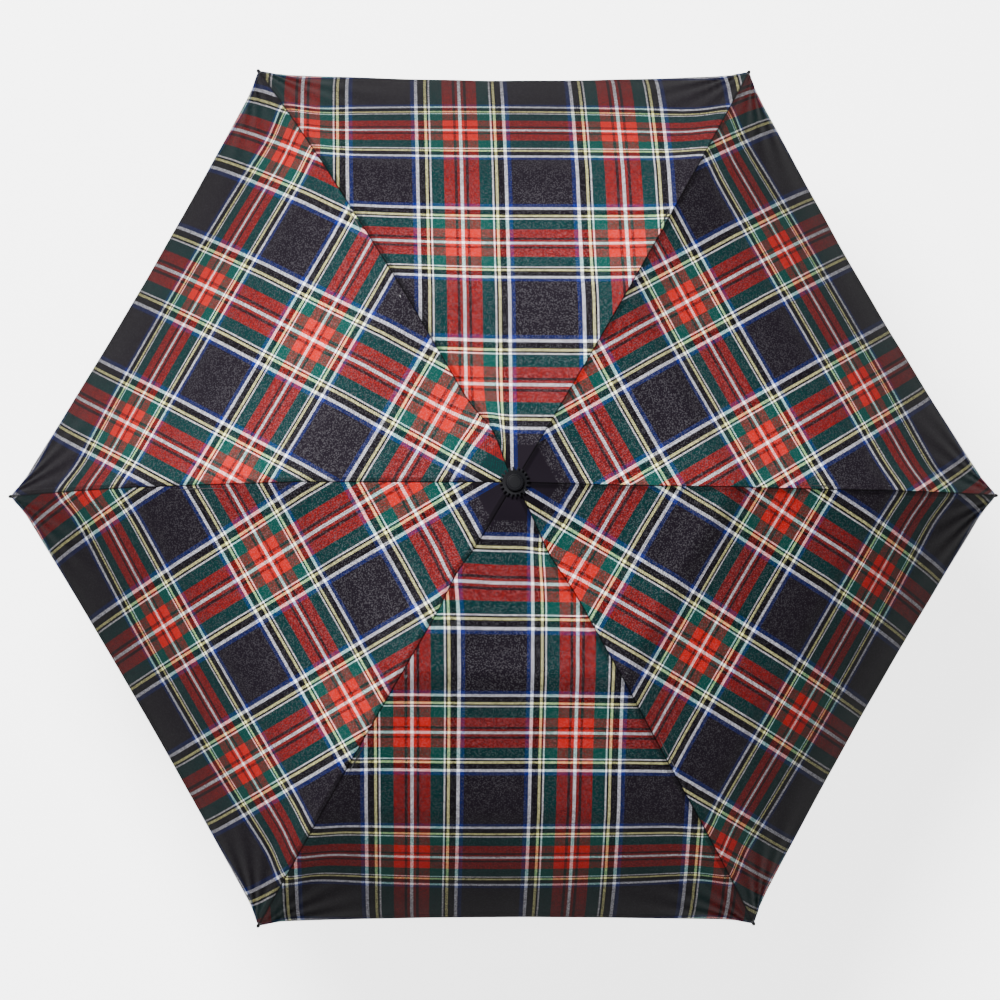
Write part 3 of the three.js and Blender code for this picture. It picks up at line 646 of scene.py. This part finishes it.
# Grey speckle outside the crown patch: partly the grain of the weave, partly painted sheen on the sloping
# cloth. It fades to about a third towards the hem, where the steep cloth catches less light.
speckle_and_sheen = smooth_range(nodes, links, scatter.outputs["Color"], 0.55, 0.85)
speckle_and_sheen = maths(nodes, links, "MULTIPLY", speckle_and_sheen, maths(nodes, links, "MULTIPLY", patch, 0.042))
sheen_fade = smooth_range(nodes, links, to_hem, 0.02, 0.3, 0.35, 1.0)
speckle_and_sheen = maths(nodes, links, "MULTIPLY", speckle_and_sheen, sheen_fade)
woven = mixed(nodes, links, speckle_and_sheen, woven, (0.62, 0.60, 0.64))
shade = maths(nodes, links, "MULTIPLY", seam_line, painted_fold_shadow)
shade = maths(nodes, links, "MULTIPLY", shade, maths(nodes, links, "MULTIPLY", hem_line, hem_fold_shade))
# Inside the crown patch the colour is dimmed by a tenth: for the second layer beneath, and as painted shade on
# the level cloth there.
shade = maths(nodes, links, "MULTIPLY", shade, maths(nodes, links, "MULTIPLY_ADD", patch, 0.1, 0.9))
# Painted shade: over the last 22 cm to the hem the colour darkens to about a third, where the steep cloth faces
# away from the light.
painted_rim_shade = smooth_range(nodes, links, to_hem, 0.0, PAINTED_RIM_REACH, PAINTED_RIM_SHADE, 1.0)
shade = maths(nodes, links, "MULTIPLY", shade, painted_rim_shade)
cloud = noise(nodes, links, flat_uv.outputs["UV"], 22, 3.0, 0.5)
shade = maths(nodes, links, "MULTIPLY", shade, maths(nodes, links, "MULTIPLY_ADD", cloud, 0.22, 0.89))
woven = mixed(nodes, links, 1.0, woven, shade, "MULTIPLY")
links.new(woven, shader.inputs["Base Color"])
shader.inputs["Roughness"].default_value = 0.72
shader.inputs["Specular IOR Level"].default_value = 0.03
fold_edge = smooth_range(nodes, links, seam_gap, 4.4 * MM, 6.4 * MM, 1.0, 0.0)
ridge = maths(nodes, links, "MULTIPLY", on_fold_side, fold_edge)
groove = smooth_range(nodes, links, seam_gap, 0.1 * MM, 1.3 * MM, 0.0, 1.0)
relief = maths(nodes, links, "MULTIPLY", groove, 0.6 * MM)
relief = maths(nodes, links, "MULTIPLY_ADD", ridge, 0.45 * MM, relief)
hem_step = smooth_range(nodes, links, to_hem, 5.6 * MM, 6.6 * MM, 0.35 * MM, 0.0)
relief = maths(nodes, links, "ADD", relief, hem_step)
relief = maths(nodes, links, "MULTIPLY_ADD", twill_wave, 0.03 * MM, relief)
relief = maths(nodes, links, "MULTIPLY_ADD", speckle, 0.04 * MM, relief)
bump = nodes.new("ShaderNodeBump")
bump.inputs["Strength"].default_value = 0.55
bump.inputs["Distance"].default_value = 1.0
links.new(relief, bump.inputs["Height"])
links.new(bump.outputs["Normal"], shader.inputs["Normal"])
print("cloth finish has", len(nodes), "nodes")


def flat_area(piece):
    """The cut's area, from the flat coordinates of the upper face."""
    mesh = piece.data
    uv = mesh.uv_layers["tartan"].data
    total = 0.0
    for polygon in mesh.polygons:
        corners = [uv[i].uv for i in polygon.loop_indices]
        total += abs(sum(a.x * b.y - b.x * a.y for a, b in zip(corners, corners[1:] + corners[:1]))) / 2
    return total / 2


total_area = 0.0
for (rib, left_side, band), piece in cloth.items():
    plan = BANDS[band]
    piece.data.materials.append(cloth_finish)
    turn = Matrix.Rotation(-rib * STEP_ANGLE, 3, "Z")
    local = np.array([turn @ v.co for v in piece.data.vertices])
    half_width = np.abs(local[:, 1]).max()
    widest = local[np.abs(local[:, 1]) > 0.93 * half_width].mean(axis=0)
    beside = local[np.abs(local[:, 1]) < 0.003]
    beside = beside[np.argsort(np.abs(beside[:, 0] - widest[0]))[:4]].mean(axis=0)
    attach(piece, f"{plan['body']}_{rib + 1}")
    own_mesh(piece)
    area = flat_area(piece)
    total_area += area
    if left_side and band == "top":
        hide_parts(f"canopy_gore_{rib + 1}")
print("cloth area", round(total_area, 3), "square metres")

# %% [markdown]
# ## Turned parts
# The cap, the tips, the tubes and the handle are round, as if cut on a lathe. A lathe in Blender is Spin: we
# draw half of the section as a line of vertices and spin it about an axis. Parts that a real lathe can't
# make, such as the teeth of the washer and the slots in the tubes, are cut or pushed out afterwards.

# %% A lathe
SMOOTH_BELOW = math.radians(38)


def deselect():
    bpy.ops.object.select_all(action="DESELECT")


def turned(name, section, closed=False, sides=64):
    """Spins a section, given as (radius, height) points in order, about the Z axis."""
    deselect()
    mesh = bpy.data.meshes.new(name)
    lines = [(i, i + 1) for i in range(len(section) - 1)]
    if closed:
        lines.append((len(section) - 1, 0))
    mesh.from_pydata([(r, 0, z) for r, z in section], lines, [])
    piece = bpy.data.objects.new(name, mesh)
    bpy.context.collection.objects.link(piece)
    bpy.context.view_layer.objects.active = piece
    piece.select_set(True)
    bpy.ops.object.mode_set(mode="EDIT")
    bpy.ops.mesh.select_all(action="SELECT")
    bpy.ops.mesh.spin(steps=sides, angle=2 * math.pi, center=(0, 0, 0), axis=(0, 0, 1))
    bpy.ops.mesh.select_all(action="SELECT")
    bpy.ops.mesh.remove_doubles(threshold=1e-6)
    bpy.ops.mesh.normals_make_consistent(inside=False)
    bpy.ops.object.mode_set(mode="OBJECT")
    bpy.ops.object.shade_smooth_by_angle(angle=SMOOTH_BELOW)
    return piece


def moved(piece, matrix):
    """Puts a turn or a move into the mesh, so that the object stays at the origin."""
    piece.data.transform(matrix)
    piece.data.update()
    return piece


def copy_of(piece, name, matrix):
    twin = bpy.data.objects.new(name, piece.data.copy())
    bpy.context.collection.objects.link(twin)
    return moved(twin, matrix)


def apply_modifiers(piece):
    deselect()
    bpy.context.view_layer.objects.active = piece
    piece.select_set(True)
    for modifier in list(piece.modifiers):
        bpy.ops.object.modifier_apply(modifier=modifier.name)


print("lathe ready")

# %% [markdown]
# ## Finishes for the hard parts
# Moulded plastic has a faint grain and a sheen broken by handling. The grip has a soft rubbery coat. Tubes
# are plated steel, drawn lengthwise, so their fine scratches run along them. The ribs are painted black, and
# the paint is worn grey in patches.

# %% Plastic, rubber and steel
def grained(name, colour, roughness, grain, relief, metal=0.0, spread=0.12, stretch=(1, 1, 1), second=None):
    material, nodes, links, shader = node_material(name)
    place = nodes.new("ShaderNodeTexCoord").outputs["Object"]
    mapping = nodes.new("ShaderNodeMapping")
    mapping.inputs["Scale"].default_value = stretch
    links.new(place, mapping.inputs["Vector"])
    fine = noise(nodes, links, mapping.outputs["Vector"], grain, 3.0, 0.6)
    broad = noise(nodes, links, place, 45, 3.0, 0.5)
    worn = smooth_range(nodes, links, broad, 0.45, 0.75)
    worn = maths(nodes, links, "MULTIPLY", worn, fine)
    base = mixed(nodes, links, worn, colour, second or tuple(min(1, c * 1.7 + 0.01) for c in colour))
    links.new(base, shader.inputs["Base Color"])
    rough = maths(nodes, links, "MULTIPLY_ADD", fine, spread, roughness - spread / 2)
    rough = maths(nodes, links, "SUBTRACT", rough, spread / 2)
    rough = maths(nodes, links, "MULTIPLY_ADD", broad, spread, rough)
    links.new(rough, shader.inputs["Roughness"])
    shader.inputs["Metallic"].default_value = metal
    shader.inputs["Specular IOR Level"].default_value = 0.5 if metal else 0.05
    bump = nodes.new("ShaderNodeBump")
    bump.inputs["Strength"].default_value = 0.4
    bump.inputs["Distance"].default_value = relief
    links.new(fine, bump.inputs["Height"])
    links.new(bump.outputs["Normal"], shader.inputs["Normal"])
    return material


black_plastic = grained("black_plastic", (0.003, 0.003, 0.004), 0.5, 2600, 0.06 * MM,
                        second=(0.006, 0.006, 0.007))
grip_rubber = grained("grip_rubber", (0.016, 0.016, 0.018), 0.68, 3200, 0.10 * MM)
bright_steel = grained("bright_steel", (0.17, 0.17, 0.175), 0.3, 900, 0.01 * MM, metal=1.0,
                       stretch=(1, 1, 0.03))
black_steel = grained("black_steel", (0.016, 0.016, 0.018), 0.38, 1400, 0.03 * MM, metal=0.3,
                      second=(0.10, 0.10, 0.105))
print("four hard finishes")

# %% [markdown]
# ## The crown
# A toothed washer holds the cloth down on the crown, and a flat cap is pressed over it. The teeth grip the
# cloth. We start from a disc with forty sides and push out every other side face, then soften all the edges
# with a bevel.

# %% Toothed washer
TEETH = 20
washer_low, washer_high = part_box("canopy_rosette")
washer_radius = (washer_high.x - washer_low.x) / 2
tooth_depth = 2.8 * MM
deselect()
bpy.ops.mesh.primitive_cylinder_add(
    vertices=TEETH * 2, radius=washer_radius - tooth_depth, depth=washer_high.z - washer_low.z,
    location=(0, 0, (washer_low.z + washer_high.z) / 2))
washer = bpy.context.object
washer.name = "toothed_washer"
bpy.ops.object.transform_apply(location=True, rotation=True, scale=True)
bpy.ops.object.mode_set(mode="EDIT")
bpy.ops.mesh.select_mode(type="FACE")
bpy.ops.mesh.select_all(action="DESELECT")
bm = bmesh.from_edit_mesh(washer.data)
for face in bm.faces:
    centre = face.calc_center_median()
    place = round(math.atan2(centre.y, centre.x) / (2 * math.pi) * TEETH * 2 - 0.5)
    face.select_set(abs(face.normal.z) < 0.5 and place % 2 == 0)
bmesh.update_edit_mesh(washer.data)
bpy.ops.mesh.extrude_region_shrink_fatten(TRANSFORM_OT_shrink_fatten={"value": tooth_depth})
bpy.ops.mesh.select_all(action="SELECT")
bpy.ops.mesh.normals_make_consistent(inside=False)
bpy.ops.object.mode_set(mode="OBJECT")
edge_softener = washer.modifiers.new("edges", "BEVEL")
edge_softener.width, edge_softener.segments, edge_softener.limit_method = 0.22 * MM, 2, "ANGLE"
apply_modifiers(washer)
bpy.ops.object.shade_smooth_by_angle(angle=SMOOTH_BELOW)
washer.data.materials.append(black_plastic)
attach(washer, "canopy_head")
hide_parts("canopy_rosette")
print("washer radius", round(max(v.co.xy.length for v in washer.data.vertices) / MM, 1), "mm")

# %% Cap
cap_low, cap_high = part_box("crown_cap")
r, b, t = (cap_high.x - cap_low.x) / 2, cap_low.z, cap_high.z  # radius, bottom and top
cap = turned("cap", [
    (0, b), (r - 0.5 * MM, b), (r, b + 0.5 * MM), (r, t - 1.5 * MM), (r - 0.35 * MM, t - 0.8 * MM),
    (r - 1.1 * MM, t - 0.12 * MM), (r - 1.5 * MM, t), (r - 2.1 * MM, t), (r - 2.35 * MM, t - 0.3 * MM),
    (r - 2.7 * MM, t - 0.3 * MM), (r - 2.95 * MM, t - 0.12 * MM), (r - 3.2 * MM, t - 0.1 * MM),
    (0, t - 0.1 * MM)], sides=96)
cap.data.materials.append(black_plastic)
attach(cap, "canopy_head")
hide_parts("crown_cap")
print("cap is", round(2 * r / MM, 1), "mm across")

# %% [markdown]
# ## Rib tips
# A small nylon tip is crimped on each wire end and sewn into the corner of the cloth. It has a collar, a
# waist for the thread and a blunt nose. It is turned once, along Z, tipped over to the wire's direction, and
# copied to the other ribs.

# %% Turn one tip and copy it
TIP_LENGTH, TIP_RADIUS = 2 * TIP_HALF, 1.8 * MM
profile = [(0, 0), (0.85, 0), (1.0, 0.03), (1.0, 0.22), (0.72, 0.30), (0.66, 0.40), (0.72, 0.50), (0.98, 0.58),
           (1.0, 0.72), (0.9, 0.86), (0.62, 0.96), (0, 1.0)]
first_tip = turned("tip_1", [(a * TIP_RADIUS, c * TIP_LENGTH) for a, c in profile], sides=24)
lie_down = Matrix.Rotation(math.pi / 2 - END_ANGLE, 4, "Y")
moved(first_tip, Matrix.Translation(tip_middle) @ lie_down @ Matrix.Translation((0, 0, -TIP_LENGTH / 2)))
for rib in range(RIBS):
    turn = Matrix.Rotation(rib * STEP_ANGLE, 4, "Z")
    tip = first_tip if rib == 0 else copy_of(first_tip, f"tip_{rib + 1}", turn)
    if rib == 0:
        tip.data.materials.append(black_plastic)
    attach(tip, f"outer_rib_{rib + 1}")
    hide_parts(f"rib_{rib + 1}_tip")
print("six tips,", round(TIP_LENGTH / MM, 1), "mm long")

# %% [markdown]
# ## The shaft
# Three steel tubes slide in each other. The mouth of each is rolled in to guide the next, and a slot lets a
# sprung catch stand out. We turn the wall as a closed ring section and cut the slot with a Boolean, as a mill
# would.

# %% Tubes
TUBE_WALL = 0.6 * MM
SLOT_GAP = 0.4 * MM


def tube(name, body, catch, rolled):
    low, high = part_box(name)
    outer = (high.y - low.y) / 2
    inner = outer - TUBE_WALL
    section = [(inner, low.z), (outer - 0.15 * MM, low.z), (outer, low.z + 0.15 * MM)]
    if rolled:
        mouth = low.z + 9 * MM
        section += [(outer, mouth), (outer - 0.25 * MM, mouth + 0.6 * MM),
                    (outer - 0.25 * MM, mouth + 1.6 * MM), (outer, mouth + 2.2 * MM)]
    section += [(outer, high.z - 0.15 * MM), (outer - 0.15 * MM, high.z), (inner, high.z)]
    piece = turned(f"{name}_wall", section, closed=True)
    catch_low, catch_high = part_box(catch)
    deselect()
    catch_middle = (catch_low + catch_high) / 2
    bpy.ops.mesh.primitive_cube_add(size=1, location=(catch_middle.x, 0, catch_middle.z))
    cutter = bpy.context.object
    cutter.scale = catch_high - catch_low + Vector((2, 2, 2)) * SLOT_GAP
    bpy.ops.object.transform_apply(location=True, rotation=True, scale=True)
    slot = piece.modifiers.new("slot", "BOOLEAN")
    slot.operation, slot.solver, slot.object = "DIFFERENCE", "EXACT", cutter
    apply_modifiers(piece)
    bpy.data.objects.remove(cutter)
    piece.data.materials.append(bright_steel)
    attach(piece, body)
    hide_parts(name)
    print(name, "is", round(2 * outer / MM, 1), "mm across and", round((high.z - low.z) / MM), "mm long")


tube("lower_tube", "handle", "tube_catch_lower", rolled=False)
tube("mid_tube", "mid_shaft", "tube_catch_upper", rolled=True)
tube("top_tube", "canopy_head", "runner_catch", rolled=True)

# %% [markdown]
# ## The handle
# A compact umbrella has a short grip with a soft coat, waisted for the fingers, with shallow rings so that
# wet hands hold it. Its flat end cap is a separate hard disc. Both are turned, with the rings drawn into the
# section.

# %% Grip and end cap
grip_low, grip_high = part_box("handle_grip")
grip_radius = (grip_high.x - grip_low.x) / 2
tube_low, tube_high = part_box("lower_tube")
bore = (tube_high.y - tube_low.y) / 2 + 0.15 * MM
grip_length = grip_high.z - grip_low.z
section = [(0, grip_low.z), (grip_radius - 0.8 * MM, grip_low.z)]
RINGS, RING_DEPTH, GRIP_STEPS = 11, 0.36 * MM, 96
for step in range(GRIP_STEPS + 1):
    share = step / GRIP_STEPS
    body_radius = grip_radius - 1.4 * MM * math.sin(math.pi * min(1, share * 1.05)) ** 2
    if share > 0.86:
        body_radius -= 3.2 * MM * ((share - 0.86) / 0.14) ** 2.2
    if share < 0.03:
        body_radius -= 0.6 * MM * (1 - share / 0.03) ** 2
    ring = 0
    if 0.2 < share < 0.8:
        ring = RING_DEPTH * (0.5 - 0.5 * math.cos((share - 0.2) / 0.6 * 2 * math.pi * RINGS))
    section.append((body_radius - ring, grip_low.z + grip_length * (0.004 + 0.992 * share)))
bore_end = grip_low.z + 0.27 * grip_length
section += [(bore + 1.2 * MM, grip_high.z), (bore, grip_high.z - 0.4 * MM), (bore, bore_end), (0, bore_end)]
grip = turned("grip", section, sides=96)
grip.data.materials.append(grip_rubber)
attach(grip, "handle")
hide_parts("handle_grip")
end_low, end_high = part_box("handle_end_cap")
r, b, t = (end_high.x - end_low.x) / 2, end_low.z, end_high.z  # radius, bottom and top
end_cap = turned("end_cap", [
    (0, b + 0.5 * MM), (r - 4.2 * MM, b + 0.5 * MM), (r - 3.8 * MM, b), (r - 0.7 * MM, b),
    (r - 0.2 * MM, b + 0.25 * MM), (r, b + 0.8 * MM), (r, t - 0.2 * MM), (r - 0.2 * MM, t), (0, t)], sides=96)
end_cap.data.materials.append(black_plastic)
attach(end_cap, "handle")
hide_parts("handle_end_cap")
print("grip is", round(grip_length / MM), "mm long and", round(2 * grip_radius / MM, 1), "mm thick")

# %% [markdown]
# ## Finishes for the frame's own pieces
# Ribs, links, hub, runner and catches keep the shape they have in the frame. Each only gets the right finish:
# painted steel for what is pressed from strip, bare steel for wires and long links, and plastic for what is
# moulded.

# %% Paint the frame
FINISH = {"crown_notch": black_plastic, "runner": black_plastic, "runner_catch": bright_steel,
          "tube_catch_upper": bright_steel, "tube_catch_lower": bright_steel}
for rib in range(1, RIBS + 1):
    for name in (f"rib_{rib}_top", f"rib_{rib}_middle", f"stretcher_{rib}", f"fold_link_{rib}"):
        FINISH[name] = black_steel
    for name in (f"rib_{rib}_outer", f"outer_link_{rib}"):
        FINISH[name] = bright_steel
shown = 0
for name, node in frame["nodes"].items():
    if node.hide_render:
        continue
    for material_slot in node.material_slots:
        material_slot.material = FINISH[name]
    shown += 1
print(shown, "frame pieces painted")
